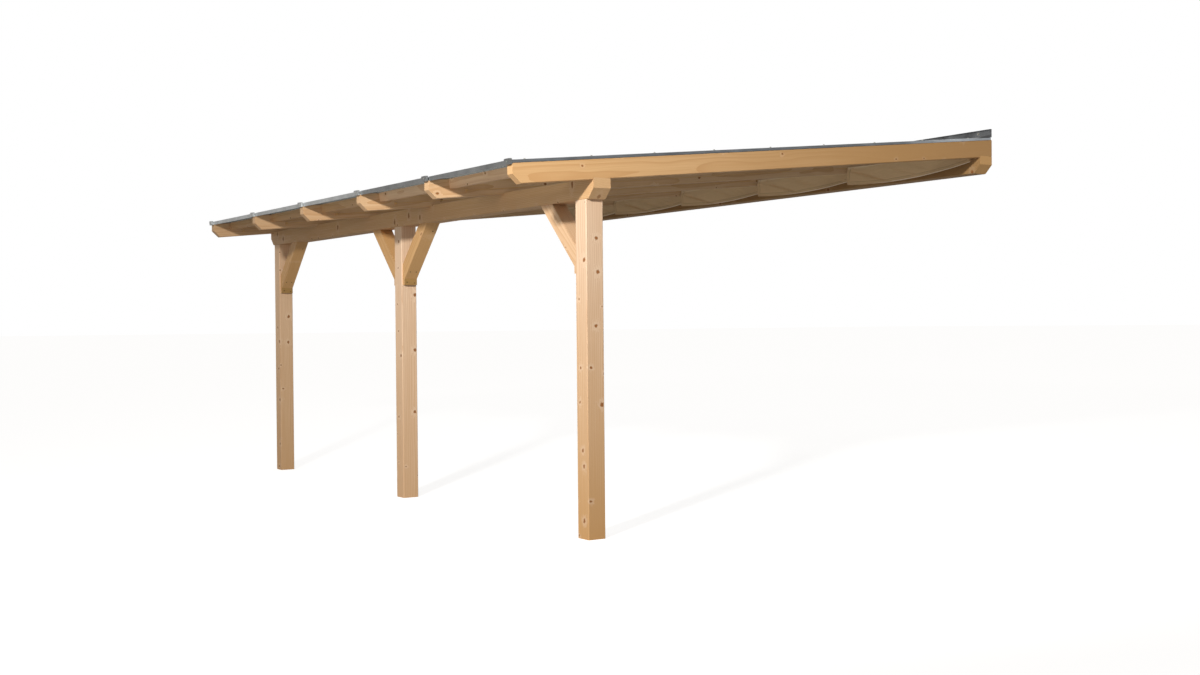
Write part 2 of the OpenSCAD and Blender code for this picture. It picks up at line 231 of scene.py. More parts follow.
def planed_spruce(name, centre, along, heart, gold, painted_light, knots, end, ends, foot, seed):
    """Planed, clear-oiled spruce: growth rings round a pith beside the piece, knots that run out from it as
    dark cones, long fibre streaks and a satin surface. Rings are drawn at 9 mm, coarser than the real 4 mm,
    and fibres at 5 mm, so that they show in the render."""
    ring, fibre_wide, fibre_long = 9 * MM, 5 * MM, 420 * MM
    knot_pitch, knot_spread, knot_long = 210 * MM, 0.42, 1.3
    knot_small, knot_large = 4 * MM, 13 * MM
    # how far the pith wanders, and how often to the metre it wanders, the tone shifts and a knot's rim frays
    wander = 35 * MM
    wander_rate, tone_rate, fray_rate = (5, 5, 1.1), (14, 14, 1.3), 60.0
    # shares of the dark tone in the rings, fibres and slow shifts, and of the pale one round a knot
    ring_share, fibre_share, tone_share, halo_share = 0.5, 0.45, 0.3, 0.4
    # length of stem that keeps one timber's pattern clear of the next one's
    apart = 3.7
    material, tree, tones = blank(name)
    outward = (-heart).normalized()
    axes = Matrix((outward, along.cross(outward), along)).transposed()
    place = add(tree, "ShaderNodeTexCoord").outputs["Object"]
    place = add(
        tree,
        "ShaderNodeMapping",
        {"Vector": place, "Location": centre + heart, "Rotation": axes.to_euler()},
        vector_type="TEXTURE",
    ).outputs[0]
    height = add(tree, "ShaderNodeSeparateXYZ", {0: place}).outputs[2]
    place = add(
        tree, "ShaderNodeVectorMath", {0: place, 1: (0, 0, apart * seed)}, operation="ADD"
    ).outputs[0]
    # the stem wanders a little along its length, so no ring runs dead straight
    bend = add(tree, "ShaderNodeVectorMath", {0: place, 1: wander_rate}, operation="MULTIPLY").outputs[0]
    bend = add(tree, "ShaderNodeTexNoise", {"Vector": bend, "Scale": 1.0, "Detail": 2.0}).outputs[1]
    bend = add(tree, "ShaderNodeVectorMath", {0: bend, 1: (0.5, 0.5, 0.5)}, operation="SUBTRACT").outputs[0]
    bend = add(
        tree, "ShaderNodeVectorMath", {0: bend, 1: (wander, wander, 0), 2: place}, operation="MULTIPLY_ADD"
    ).outputs[0]
    parts = add(tree, "ShaderNodeSeparateXYZ", {0: bend}).outputs
    across = add(tree, "ShaderNodeVectorMath", {0: bend, 1: (1, 1, 0)}, operation="MULTIPLY").outputs[0]
    radius = add(tree, "ShaderNodeVectorMath", {0: across}, operation="LENGTH").outputs["Value"]
    angle = add(tree, "ShaderNodeMath", {0: parts[1], 1: parts[0]}, operation="ARCTAN2").outputs[0]
    # knots, one to a cell of angle and length, of which only some are there
    grid = add(tree, "ShaderNodeCombineXYZ", {0: angle, 1: parts[2]}).outputs[0]
    cell = (1 / knot_spread, 1 / knot_pitch, 0)
    grid = add(tree, "ShaderNodeVectorMath", {0: grid, 1: cell}, operation="MULTIPLY").outputs[0]
    spots = add(
        tree, "ShaderNodeTexVoronoi", {"Vector": grid, "Scale": 1.0}, voronoi_dimensions="2D"
    ).outputs
    away = add(
        tree, "ShaderNodeVectorMath", {0: grid, 1: spots["Position"]}, operation="SUBTRACT"
    ).outputs[0]
    wide = add(tree, "ShaderNodeMath", {0: radius, 1: knot_spread}, operation="MULTIPLY").outputs[0]
    unit = add(tree, "ShaderNodeCombineXYZ", {0: wide, 1: knot_pitch / knot_long}).outputs[0]
    away = add(tree, "ShaderNodeVectorMath", {0: away, 1: unit}, operation="MULTIPLY").outputs[0]
    away = add(tree, "ShaderNodeVectorMath", {0: away}, operation="LENGTH").outputs["Value"]
    chance = add(tree, "ShaderNodeSeparateColor", {0: spots["Color"]}).outputs
    there = add(tree, "ShaderNodeMath", {0: chance[1], 1: knots}, operation="LESS_THAN").outputs[0]
    size = add(
        tree, "ShaderNodeMapRange", {"Value": chance[0], "To Min": knot_small, "To Max": knot_large}
    ).outputs[0]
    size = add(
        tree, "ShaderNodeMath", {0: size, 1: there, 2: 0.01 * MM}, operation="MULTIPLY_ADD"
    ).outputs[0]
    reach = add(tree, "ShaderNodeMath", {0: away, 1: size}, operation="DIVIDE").outputs[0]
    ragged = add(tree, "ShaderNodeTexNoise", {"Vector": place, "Scale": fray_rate, "Detail": 2.0}).outputs[0]
    ragged = add(
        tree,
        "ShaderNodeMapRange",
        {"Value": ragged, "From Min": 0.3, "From Max": 0.7, "To Min": 0.7, "To Max": 1.4},
    ).outputs[0]
    reach = add(tree, "ShaderNodeMath", {0: reach, 1: ragged}, operation="MULTIPLY").outputs[0]
    core = add(
        tree,
        "ShaderNodeMapRange",
        {"Value": reach, "From Min": 1.15, "From Max": 0.55},
        interpolation_type="SMOOTHSTEP",
    ).outputs[0]
    halo = add(
        tree,
        "ShaderNodeMapRange",
        {"Value": reach, "From Min": 3.6, "From Max": 1.0},
        interpolation_type="SMOOTHSTEP",
    ).outputs[0]
    # growth rings, pushed aside round a knot, paler at first and darkest at their outer edge
    pushed = add(
        tree, "ShaderNodeMath", {0: halo, 1: 0.8 * ring, 2: radius}, operation="MULTIPLY_ADD"
    ).outputs[0]
    phase = add(tree, "ShaderNodeMath", {0: pushed, 1: ring}, operation="DIVIDE").outputs[0]
    phase = add(tree, "ShaderNodeMath", {0: phase, 1: 1.0}, operation="FRACT").outputs[0]
    late = add(tree, "ShaderNodeMath", {0: phase, 1: 2.4}, operation="POWER").outputs[0]
    # long fibre streaks and a slow change of tone
    fine = (1 / fibre_wide, 1 / fibre_wide, 1 / fibre_long)
    fibre = add(tree, "ShaderNodeVectorMath", {0: bend, 1: fine}, operation="MULTIPLY").outputs[0]
    fibre = add(tree, "ShaderNodeTexNoise", {"Vector": fibre, "Scale": 1.0, "Detail": 3.0}).outputs[0]
    fibre = add(tree, "ShaderNodeMapRange", {"Value": fibre, "From Min": 0.35, "From Max": 0.7}).outputs[0]
    slow = add(tree, "ShaderNodeVectorMath", {0: bend, 1: tone_rate}, operation="MULTIPLY").outputs[0]
    slow = add(tree, "ShaderNodeTexNoise", {"Vector": slow, "Scale": 1.0, "Detail": 2.0}).outputs[0]
    slow = add(tree, "ShaderNodeMapRange", {"Value": slow, "From Min": 0.35, "From Max": 0.7}).outputs[0]
    # sawn ends take more oil and have a tone of their own
    facing = add(tree, "ShaderNodeNewGeometry").outputs["Normal"]
    facing = add(
        tree, "ShaderNodeVectorMath", {0: facing, 1: tuple(along)}, operation="DOT_PRODUCT"
    ).outputs["Value"]
    facing = add(tree, "ShaderNodeMath", {0: facing}, operation="ABSOLUTE").outputs[0]
    sawn = add(tree, "ShaderNodeMapRange", {"Value": facing, "From Min": 0.5, "From Max": 0.7}).outputs[0]
    # painted light and shade: the piece's tones are scaled by its painted light
    pale = Vector(tones.spruce_pale).lerp(Vector(tones.spruce_gold), gold) * painted_light
    dark = Vector(tones.spruce_late) * painted_light
    warm = pale.lerp(dark, 0.55)
    ringed = add(tree, "ShaderNodeMath", {0: late, 1: ring_share}, operation="MULTIPLY").outputs[0]
    tint = add(
        tree, "ShaderNodeMix", {0: ringed, 6: opaque(pale), 7: opaque(dark)}, data_type="RGBA"
    ).outputs[2]
    streak = add(tree, "ShaderNodeMath", {0: fibre, 1: fibre_share}, operation="MULTIPLY").outputs[0]
    tint = add(tree, "ShaderNodeMix", {0: streak, 6: tint, 7: opaque(warm)}, data_type="RGBA").outputs[2]
    shift = add(tree, "ShaderNodeMath", {0: slow, 1: tone_share}, operation="MULTIPLY").outputs[0]
    tint = add(tree, "ShaderNodeMix", {0: shift, 6: tint, 7: opaque(warm)}, data_type="RGBA").outputs[2]
    # painted shade: the timber is painted darker and more golden towards its lower or rear end, where less
    # light reaches it
    painted_falloff = add(
        tree,
        "ShaderNodeMapRange",
        {"Value": height, "From Min": 0.6, "From Max": -1.0, "To Max": foot},
    ).outputs[0]
    golden = Vector(tones.spruce_gold).lerp(dark, 0.38)
    tint = add(
        tree, "ShaderNodeMix", {0: painted_falloff, 6: tint, 7: opaque(golden)}, data_type="RGBA"
    ).outputs[2]
    # the fibres that bend round a knot look pale
    bent = add(tree, "ShaderNodeMath", {0: halo, 1: halo_share}, operation="MULTIPLY").outputs[0]
    blond = pale.lerp(Vector(tones.spruce_pale), 0.3)
    tint = add(tree, "ShaderNodeMix", {0: bent, 6: tint, 7: opaque(blond)}, data_type="RGBA").outputs[2]
    tint = add(
        tree, "ShaderNodeMix", {0: core, 6: tint, 7: opaque(tones.spruce_knot)}, data_type="RGBA"
    ).outputs[2]
    sawn = add(tree, "ShaderNodeMath", {0: sawn, 1: ends}, operation="MULTIPLY").outputs[0]
    tint = add(
        tree, "ShaderNodeMix", {0: sawn, 6: tint, 7: opaque(getattr(tones, end))}, data_type="RGBA"
    ).outputs[2]
    satin = add(tree, "ShaderNodeMapRange", {"Value": fibre, "To Min": 0.48, "To Max": 0.66}).outputs[0]
    relief = add(tree, "ShaderNodeMath", {0: late, 1: fibre}, operation="ADD").outputs[0]
    relief = add(
        tree, "ShaderNodeBump", {"Height": relief, "Strength": 0.35, "Distance": 0.4 * MM}
    ).outputs[0]
    shader = add(
        tree, "ShaderNodeBsdfPrincipled", {"Base Color": tint, "Roughness": satin, "Normal": relief}
    )
    return finished(material, shader)


def drawn_aluminium(name, tone, axis, start, end, share):
    """Extruded aluminium in one of the set tones: a satin metal with fine lines that run down the roof, drawn
    at 6 mm so that they show, and a patchy oxide bloom. Along one axis of the part its tone is scaled, from
    start to end, to a share of it, as painted reflection and shade."""
    # lines and patches of bloom to the metre
    line_rate, bloom_rate = (170, 2, 170), 9.0
    material, tree, tones = blank(name)
    place = add(tree, "ShaderNodeTexCoord").outputs["Object"]
    lines = add(tree, "ShaderNodeVectorMath", {0: place, 1: line_rate}, operation="MULTIPLY").outputs[0]
    lines = add(tree, "ShaderNodeTexNoise", {"Vector": lines, "Scale": 1.0, "Detail": 2.0}).outputs[0]
    bloom = add(tree, "ShaderNodeTexNoise", {"Vector": place, "Scale": bloom_rate, "Detail": 4.0}).outputs[0]
    mixed = add(tree, "ShaderNodeMath", {0: lines, 1: bloom}, operation="MULTIPLY").outputs[0]
    mixed = add(tree, "ShaderNodeMapRange", {"Value": mixed, "From Min": 0.12, "From Max": 0.4}).outputs[0]
    bright = Vector(getattr(tones, tone))
    tint = add(
        tree,
        "ShaderNodeMix",
        {0: mixed, 6: opaque(bright * 0.62), 7: opaque(bright)},
        data_type="RGBA",
    ).outputs[2]
    along = add(tree, "ShaderNodeSeparateXYZ", {0: place}).outputs[axis]
    # painted reflection and shade: the tone is scaled along one axis of the part
    painted_reflection_scale = add(
        tree,
        "ShaderNodeMapRange",
        {"Value": along, "From Min": start, "From Max": end, "To Min": 1.0, "To Max": share},
    ).outputs[0]
    tint = add(tree, "ShaderNodeVectorMath", {0: tint, "Scale": painted_reflection_scale}, operation="SCALE").outputs[0]
    rough = add(tree, "ShaderNodeMapRange", {"Value": bloom, "To Min": 0.42, "To Max": 0.62}).outputs[0]
    shader = add(
        tree, "ShaderNodeBsdfPrincipled", {"Base Color": tint, "Metallic": 1.0, "Roughness": rough}
    )
    return finished(material, shader)


def powder_coat():
    """Powder-coated steel: a satin paint with a fine orange-peel surface, drawn at 3 mm so that it shows."""
    peel_rate = 330.0
    material, tree, tones = blank("powder_coated_steel")
    place = add(tree, "ShaderNodeTexCoord").outputs["Object"]
    peel = add(tree, "ShaderNodeTexNoise", {"Vector": place, "Scale": peel_rate, "Detail": 1.0}).outputs[0]
    peel = add(tree, "ShaderNodeBump", {"Height": peel, "Strength": 0.3, "Distance": 0.2 * MM}).outputs[0]
    shader = add(
        tree,
        "ShaderNodeBsdfPrincipled",
        {"Base Color": opaque(tones.paint), "Roughness": 0.45, "Normal": peel},
    )
    return finished(material, shader)


def twin_wall_polycarbonate():
    """Extruded polycarbonate: glossy and a little milky. It lets most of the light straight through, scatters
    the milky share, and has a little dust in broad drifts of about 450 mm."""
    drift_rate, straight, milk = 2.2, 0.88, 0.25
    material, tree, tones = blank("twin_wall_polycarbonate")
    place = add(tree, "ShaderNodeTexCoord").outputs["Object"]
    drift = add(tree, "ShaderNodeTexNoise", {"Vector": place, "Scale": drift_rate, "Detail": 5.0}).outputs[0]
    clean = Vector(tones.sheet)
    tint = add(
        tree,
        "ShaderNodeMix",
        {0: drift, 6: opaque(clean * 0.86), 7: opaque(clean)},
        data_type="RGBA",
    ).outputs[2]
    rough = add(tree, "ShaderNodeMapRange", {"Value": drift, "To Min": 0.1, "To Max": 0.3}).outputs[0]
    glossy = add(
        tree,
        "ShaderNodeBsdfPrincipled",
        {"Base Color": tint, "Roughness": rough, "IOR": 1.58, "Alpha": 1 - straight},
    )
    milky = add(tree, "ShaderNodeBsdfTranslucent", {"Color": tint})
    sheet = add(tree, "ShaderNodeMixShader", {0: milk, 1: glossy.outputs[0], 2: milky.outputs[0]})
    return finished(material, sheet)


def sealing_rubber():
    """Extruded rubber: near black and matt, with a grey bloom in patches of about 33 mm."""
    bloom_rate = 30.0
    material, tree, tones = blank("extruded_rubber")
    place = add(tree, "ShaderNodeTexCoord").outputs["Object"]
    bloom = add(tree, "ShaderNodeTexNoise", {"Vector": place, "Scale": bloom_rate, "Detail": 3.0}).outputs[0]
    black = Vector(tones.rubber)
    tint = add(
        tree, "ShaderNodeMix", {0: bloom, 6: opaque(black), 7: opaque(black * 1.9)}, data_type="RGBA"
    ).outputs[2]
    rough = add(tree, "ShaderNodeMapRange", {"Value": bloom, "To Min": 0.6, "To Max": 0.85}).outputs[0]
    shader = add(tree, "ShaderNodeBsdfPrincipled", {"Base Color": tint, "Roughness": rough})
    return finished(material, shader)


def rolled_lead():
    """Rolled lead sheet: dull grey with paler carbonate patches and shallow dressing marks 40 mm wide."""
    patch_rate, mark_wide = 7.0, 40 * MM
    material, tree, tones = blank("rolled_lead")
    place = add(tree, "ShaderNodeTexCoord").outputs["Object"]
    patch = add(tree, "ShaderNodeTexNoise", {"Vector": place, "Scale": patch_rate, "Detail": 5.0}).outputs[0]
    marks = add(
        tree, "ShaderNodeTexNoise", {"Vector": place, "Scale": 1 / mark_wide, "Detail": 1.0}
    ).outputs[0]
    patch = add(tree, "ShaderNodeMapRange", {"Value": patch, "From Min": 0.35, "From Max": 0.75}).outputs[0]
    dull = Vector(tones.flashing)
    tint = add(
        tree, "ShaderNodeMix", {0: patch, 6: opaque(dull * 0.5), 7: opaque(dull * 1.6)}, data_type="RGBA"
    ).outputs[2]
    rough = add(tree, "ShaderNodeMapRange", {"Value": patch, "To Min": 0.42, "To Max": 0.65}).outputs[0]
    dents = add(tree, "ShaderNodeBump", {"Height": marks, "Strength": 0.5, "Distance": 1.5 * MM}).outputs[0]
    shader = add(
        tree,
        "ShaderNodeBsdfPrincipled",
        {"Base Color": tint, "Metallic": 0.5, "Roughness": rough, "Normal": dents},
    )
    return finished(material, shader)


def woven_sailcloth(wide):
    """Plain-woven sailcloth: soft and matt, with slubs along the threads and a row of stitches along each
    hem. Threads are drawn at 4 mm so that they show. The cloth's width places the side hems."""
    sizes = bpy.context.scene.patio_sizes
    thread, stitch, lit_edge_wide = 4 * MM, 1.6 * MM, 6 * MM
    slub_rate = (9, 140, 0)
    material, tree, tones = blank("woven_sailcloth")
    place = add(tree, "ShaderNodeUVMap", uv_map="cut").outputs[0]
    parts = add(tree, "ShaderNodeSeparateXYZ", {0: place}).outputs
    turns = (2 * math.pi / thread, 2 * math.pi / thread, 0)
    waves = add(tree, "ShaderNodeVectorMath", {0: place, 1: turns}, operation="MULTIPLY").outputs[0]
    waves = add(tree, "ShaderNodeVectorMath", {0: waves}, operation="SINE").outputs[0]
    waves = add(tree, "ShaderNodeSeparateXYZ", {0: waves}).outputs
    weave = add(tree, "ShaderNodeMath", {0: waves[0], 1: waves[1]}, operation="MULTIPLY").outputs[0]
    slub = add(tree, "ShaderNodeVectorMath", {0: place, 1: slub_rate}, operation="MULTIPLY").outputs[0]
    slub = add(tree, "ShaderNodeTexNoise", {"Vector": slub, "Scale": 1.0, "Detail": 3.0}).outputs[0]
    # distance from the nearest side edge or front edge, for the hem and its stitches
    side = add(tree, "ShaderNodeMath", {0: parts[0], 1: wide / 2}, operation="SUBTRACT").outputs[0]
    side = add(tree, "ShaderNodeMath", {0: side}, operation="ABSOLUTE").outputs[0]
    side = add(tree, "ShaderNodeMath", {0: wide / 2, 1: side}, operation="SUBTRACT").outputs[0]
    side = add(tree, "ShaderNodeMath", {0: side, 1: parts[1]}, operation="MINIMUM").outputs[0]
    seam = add(
        tree, "ShaderNodeMath", {0: side, 1: sizes.hem, 2: stitch}, operation="COMPARE"
    ).outputs[0]
    doubled = add(tree, "ShaderNodeMath", {0: side, 1: sizes.hem}, operation="LESS_THAN").outputs[0]
    cream = Vector(tones.cloth)
    tint = add(
        tree, "ShaderNodeMix", {0: slub, 6: opaque(cream * 0.82), 7: opaque(cream)}, data_type="RGBA"
    ).outputs[2]
    # painted shade: the doubled cloth of the hem is painted darker, as less light comes through it
    doubled_shade = add(tree, "ShaderNodeMath", {0: doubled, 1: 0.18}, operation="MULTIPLY").outputs[0]
    tint = add(
        tree, "ShaderNodeMix", {0: doubled_shade, 6: tint, 7: opaque(cream * 0.6)}, data_type="RGBA"
    ).outputs[2]
    # painted highlight: the sail's lower front edge is painted pale from a little right of its left end,
    # where light catches it
    lit_edge = add(tree, "ShaderNodeMath", {0: parts[1], 1: lit_edge_wide}, operation="LESS_THAN").outputs[0]
    turned = add(
        tree, "ShaderNodeMapRange", {"Value": parts[0], "From Min": 0.2 * wide, "From Max": 0.4 * wide}
    ).outputs[0]
    highlight = add(tree, "ShaderNodeMath", {0: lit_edge, 1: turned}, operation="MULTIPLY").outputs[0]
    # painted light: a pale band under the front's top fold, widest at the left, where the fold catches light
    # from above
    fold = add(tree, "ShaderNodeUVMap", uv_map="fold").outputs[0]
    fold = add(tree, "ShaderNodeSeparateXYZ", {0: fold}).outputs
    brim = add(
        tree, "ShaderNodeMapRange", {"Value": fold[0], "From Max": 0.6, "To Min": 0.24, "To Max": 0.02}
    ).outputs[0]
    brim = add(tree, "ShaderNodeMath", {0: brim, 1: fold[1]}, operation="SUBTRACT").outputs[0]
    brim = add(tree, "ShaderNodeMapRange", {"Value": brim, "From Max": 0.05, "To Max": 0.35}).outputs[0]
    front = add(tree, "ShaderNodeMath", {0: fold[1], 1: 0.0}, operation="GREATER_THAN").outputs[0]
    brim = add(tree, "ShaderNodeMath", {0: brim, 1: front}, operation="MULTIPLY").outputs[0]
    highlight = add(tree, "ShaderNodeMath", {0: highlight, 1: brim}, operation="MAXIMUM").outputs[0]
    tint = add(
        tree, "ShaderNodeMix", {0: highlight, 6: tint, 7: opaque(tones.sail_highlight)}, data_type="RGBA"
    ).outputs[2]
    sewn = add(tree, "ShaderNodeMath", {0: seam, 1: 0.6}, operation="MULTIPLY").outputs[0]
    tint = add(
        tree, "ShaderNodeMix", {0: sewn, 6: tint, 7: opaque(cream * 0.45)}, data_type="RGBA"
    ).outputs[2]
    relief = add(tree, "ShaderNodeMath", {0: weave, 1: slub}, operation="ADD").outputs[0]
    relief = add(
        tree, "ShaderNodeBump", {"Height": relief, "Strength": 0.3, "Distance": 0.3 * MM}
    ).outputs[0]
    solid = add(
        tree,
        "ShaderNodeBsdfPrincipled",
        {"Base Color": tint, "Roughness": 0.85, "Sheen Weight": 0.15, "Normal": relief},
    )
    return finished(material, solid)


def plated_steel(name, tone):
    """Plated steel in one of the set tones, with a faint spangle of about 4 mm."""
    spangle_rate = 260.0
    material, tree, tones = blank(name)
    place = add(tree, "ShaderNodeTexCoord").outputs["Object"]
    spangle = add(tree, "ShaderNodeTexVoronoi", {"Vector": place, "Scale": spangle_rate}).outputs["Color"]
    spangle = add(tree, "ShaderNodeSeparateColor", {0: spangle}).outputs[0]
    plate = Vector(getattr(tones, tone))
    tint = add(
        tree, "ShaderNodeMix", {0: spangle, 6: opaque(plate * 0.7), 7: opaque(plate)}, data_type="RGBA"
    ).outputs[2]
    rough = add(tree, "ShaderNodeMapRange", {"Value": spangle, "To Min": 0.28, "To Max": 0.45}).outputs[0]
    shader = add(
        tree, "ShaderNodeBsdfPrincipled", {"Base Color": tint, "Metallic": 1.0, "Roughness": rough}
    )
    return finished(material, shader)


def dress(node, material):
    """Gives a CAD node its finish."""
    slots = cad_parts[node].data.materials
    slots.clear()
    slots.append(material)


def linked(name, data):
    """Links a mesh, a lamp or a camera into the scene as an object."""
    made = bpy.data.objects.new(name, data)
    bpy.context.scene.collection.objects.link(made)
    return made


def settle(made):
    """Turns an object's modifiers into its mesh, and lets it ride on the frame."""
    evaluated = made.evaluated_get(bpy.context.evaluated_depsgraph_get())
    mesh = bpy.data.meshes.new_from_object(evaluated)
    made.modifiers.clear()
    made.data = mesh
    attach(made, BODY)


class PATIO_OT_timber(bpy.types.Operator):
    """Gives every timber its own cut of planed spruce"""

    bl_idname = "patio.timber"
    bl_label = "Timber"

    def execute(self, context):
        # name, grain direction, pith seen from the piece's middle, share of the golden tone, brightness
        # painted in for light and shade, chance of a knot, tone of the sawn ends, its share, and how much
        # painted shade the lower or rear end has
        cuts = [
            # painted light: the left and middle posts are painted brighter, for the light that falls on them
            ("post_left", Z, Vector((-0.10, 0.13, 0)), 0.3, 1.08, 0.55, "sawn", 0.3, 0.6),
            ("post_middle", Z, Vector((-0.12, 0.10, 0)), 0.1, 1.08, 0.55, "sawn", 0.3, 0.5),
            ("post_right", Z, Vector((-0.09, 0.14, 0)), 0.1, 1.0, 0.6, "sawn", 0.3, 0.95),
            ("front_beam", X, Vector((0, 0.03, -0.16)), 0.75, 0.97, 0.6, "sawn", 0.3, 0),
            # painted shade: the wall beam is painted darker, for the shade of the sails and roof over it
            ("wall_beam", X, Vector((0, 0.08, 0.15)), 1.0, 0.68, 0.4, "sawn_wall", 1.0, 0),
        ]
        for name, side in BRACES.items():
            gold = 0.45 if name == "brace_right" else 0.95
            grain = (X * side + Z).normalized()
            cuts.append((name, grain, Vector((0, 0.15, 0)), gold, 1.0, 0.4, "sawn_brace", 1.0, 0))
        for k, name in enumerate(family("rafter")):
            heart = Vector((-0.13, 0, 0)) + OFF_ROOF * (0.03 - 0.012 * k)
            gold, rear = (0.85, 0.95) if name == "rafter_6" else (0.6, 0)
            cuts.append((name, DOWN_ROOF, heart, gold, 1.0, 0.3, "sawn", 0.1, rear))
        for k, name in enumerate(family("cross_rail")):
            heart = DOWN_ROOF * -0.12 + OFF_ROOF * (0.02 * k - 0.05)
            # painted light: the cross rails of the two right-hand bays are painted brighter, for the light
            # that falls on them
            gold, painted_light = (0.4, 1.12) if name in ("cross_rail_4", "cross_rail_5") else (0.75, 1.0)
            cuts.append((name, X, heart, gold, painted_light, 0.3, "sawn", 0.3, 0))
        for k, (name, *cut) in enumerate(cuts):
            dress(name, planed_spruce(f"planed_spruce_{name}", middle(name), *cut, SEED + 2 * k))
        return {"FINISHED"}


class PATIO_OT_roof(bpy.types.Operator):
    """Gives the roof sheets, profiles, seals and flashing their finishes"""

    bl_idname = "patio.roof"
    bl_label = "Roof"

    def execute(self, context):
        # painted reflection and shade: the channels are painted duller at the right end, and the bars
        # brighter at the wall
        bright = drawn_aluminium(
            "mill_finished_aluminium", "aluminium", axis="X", start=0.4, end=0.7, share=0.5
        )
        grey = drawn_aluminium("weathered_aluminium", "bar", axis="Y", start=-0.9, end=-0.5, share=2.2)
        clear = twin_wall_polycarbonate()
        for name in family("roof_sheet"):
            dress(name, clear)
        for name in [*family("eaves_channel"), "bar_end_caps"]:
            dress(name, bright)
        for name in family("glazing_bar"):
            dress(name, grey)
        dress("sail_rods", powder_coat())
        dress("gaskets", sealing_rubber())
        dress("wall_flashing", rolled_lead())
        return {"FINISHED"}


def rod_head():
    """Point where the plane of the sail rods meets the wall."""
    level = [p.dot(OFF_ROOF) for p in corners("sail_rods")]
    return Z * (min(level) + max(level)) / 2 / OFF_ROOF.z


def smooth(value, low, high):
    """Smooth step from 0 at low to 1 at high."""
    t = min(max((value - low) / (high - low), 0), 1)
    return t * t * (3 - 2 * t)


def sail_drop(sizes, u):
    """Drop of the front fold at a place u across the bay, through its left, middle and right values."""
    return (
        sizes.sail_left * (1 - u) * (1 - 2 * u)
        + 4 * sizes.sail_middle * u * (1 - u)
        + sizes.sail_right * u * (2 * u - 1)
    )


def ripple(phases, u, deep):
    """Sway of a hanging cloth at a place u across the bay and a depth below its top, both from 0 to 1."""
    return sum(
        share * math.sin(phase + across * u - down * deep)
        for phase, (share, across, down) in zip(phases, SWAYS)
    )


def creased(creases, u, deep):
    """Depth of the creases that run slantwise down a sail's front, at a place across it and down it, both
    from 0 to 1."""
    depth = 0
    for start, end, top, foot, wide, share in creases:
        along = min(max((deep - top) / (foot - top), 0), 1)
        off = (u - start - along * (end - start)) / wide
        depth += share * math.exp(-off * off) * math.sin(math.pi * (0.15 + 0.85 * along)) ** 0.5
    return depth


def run_along(section):
    """Length of cloth from the front hem to each point of a section."""
    steps = np.linalg.norm(np.diff(section, axis=0), axis=1)
    return np.concatenate([[0], np.cumsum(steps)])


def sail_section(sizes, head, u, waves, creases):
    """Path of the cloth at a place u across the bay, from the hem of its front over fold after fold to its
    rear hem, as places down the roof and off the plane of the rods."""
    # share of the front's drop that the first fold behind it has, and how square a fold's lower turn is
    first_fold, square = 0.94, 0.87
    # where a fold starts to lie on the wall beam, and where it lies on it fully, in front of the beam
    lies_from, lies_at = 60 * MM, 14 * MM
    # part of the front that the top's tilt takes up, and how fast it fades to the right
    tilt_deep, tilt_fade = 0.24, 1.7
    # points round a fold's top and round its lower turn
    top_points, turn_points = 7, 23
    beam_low, beam_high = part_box("wall_beam")
    share = np.linspace(0, 1, sizes.sail_folds + 1)
    left = sizes.front_left + share * (sizes.back_left - sizes.front_left)
    right = sizes.front_right + share * (sizes.back_right - sizes.front_right)
    ridge = left + u * (right - left)
    pitch = ridge[0] - ridge[1]
    crown = 0.11 * pitch
    sway = 0.25 * pitch
    top = -sizes.sail_sag * 4 * u * (1 - u)
    front = sail_drop(sizes, u)
    path = []
    tilt = sizes.sail_tilt * max(1 - tilt_fade * u, 0)
    for t in np.linspace(1, 0.02, FLAP_STEPS):
        lean = tilt * smooth(t, 0, tilt_deep) - sizes.crease * creased(creases, u, t)
        lean += sway * ripple(waves[0], u, t) * t**0.7
        path.append((ridge[0] + crown + lean, top - (front + top) * t))
    for k in range(sizes.sail_folds + 1):
        for turn in np.linspace(math.pi, 0, top_points):
            path.append((ridge[k] - crown * math.cos(turn), top + crown * math.sin(turn)))
        if k == sizes.sail_folds:
            break
        half = (ridge[k] - ridge[k + 1]) / 2 - crown
        mid = (ridge[k] + ridge[k + 1]) / 2
        drop = front * (first_fold if k == 0 else sizes.sail_taper) + top
        # over the wall beam a fold lies on it instead of hanging free
        y = (head + DOWN_ROOF * ridge[k + 1]).y
        room = (head + DOWN_ROOF * mid).z - beam_high.z - sizes.beam_gap + top
        over = smooth(y, beam_low.y - lies_from, beam_low.y - lies_at) if k else 0
        drop += (min(drop, room) - drop) * over
        for turn in np.linspace(math.pi, 2 * math.pi, turn_points)[1:-1]:
            deep = abs(math.sin(turn)) ** square
            side = math.copysign(abs(math.cos(turn)) ** square, math.cos(turn))
            lean = sway * ripple(waves[k + 1], u, deep) * deep
            path.append((mid - half * side + lean, top - drop * deep))
    for t in (0.33, 0.66, 1):
        path.append((ridge[-1] - crown, top - 0.5 * sizes.hem * t))
    return np.array(path)


